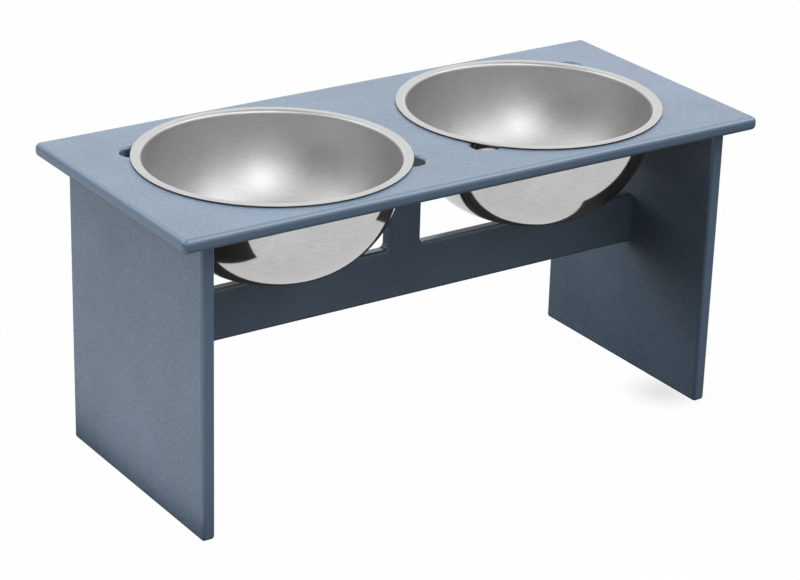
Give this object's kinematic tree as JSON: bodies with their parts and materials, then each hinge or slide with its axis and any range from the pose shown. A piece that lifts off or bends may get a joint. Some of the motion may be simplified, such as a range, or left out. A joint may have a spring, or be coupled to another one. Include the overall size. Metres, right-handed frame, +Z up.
{
  "type": "double dog bowl stand",
  "caption": "Raised feeding stand of plastic sheet: slab legs and a T-shaped stretcher carry a top panel whose round holes hold lift-out steel bowls.",
  "frame": {"origin": "on the floor under the middle of the stand", "axes": "+X along the stand from the left bowl to the right one, +Y to the back, +Z up"},
  "size_m": [0.6096, 0.2698, 0.2925],
  "materials": {
    "plastic_sheet": "finely pebbled, solid blue-grey polyethylene sheet",
    "bowl_steel": "satin inside with a bright rim and a polished outside",
    "bracket_steel": "plain stamped stainless steel",
    "screw_steel": "plain stainless steel"
  },
  "bodies": {
    "stand": {"top_panel": "plastic_sheet", "left_leg": "plastic_sheet", "right_leg": "plastic_sheet", "stretcher": "plastic_sheet", "left_front_bracket": "bracket_steel", "left_rear_bracket": "bracket_steel", "right_front_bracket": "bracket_steel", "right_rear_bracket": "bracket_steel", "stretcher_left_bracket": "bracket_steel", "stretcher_right_bracket": "bracket_steel", "post_bracket": "bracket_steel", "left_front_bracket_screws": "screw_steel", "left_rear_bracket_screws": "screw_steel", "right_front_bracket_screws": "screw_steel", "right_rear_bracket_screws": "screw_steel", "stretcher_left_bracket_screws": "screw_steel", "stretcher_right_bracket_screws": "screw_steel", "post_bracket_screws": "screw_steel"},
    "left_bowl": {"left_bowl": "bowl_steel"},
    "right_bowl": {"right_bowl": "bowl_steel"}
  },
  "joints": [
    {"name": "left_bowl_lift", "type": "slide", "parent": "stand", "child": "left_bowl", "axis": [0, 0, 1], "range_m": [0, 0.15]},
    {"name": "right_bowl_lift", "type": "slide", "parent": "stand", "child": "right_bowl", "axis": [0, 0, 1], "range_m": [0, 0.15]}
  ]
}
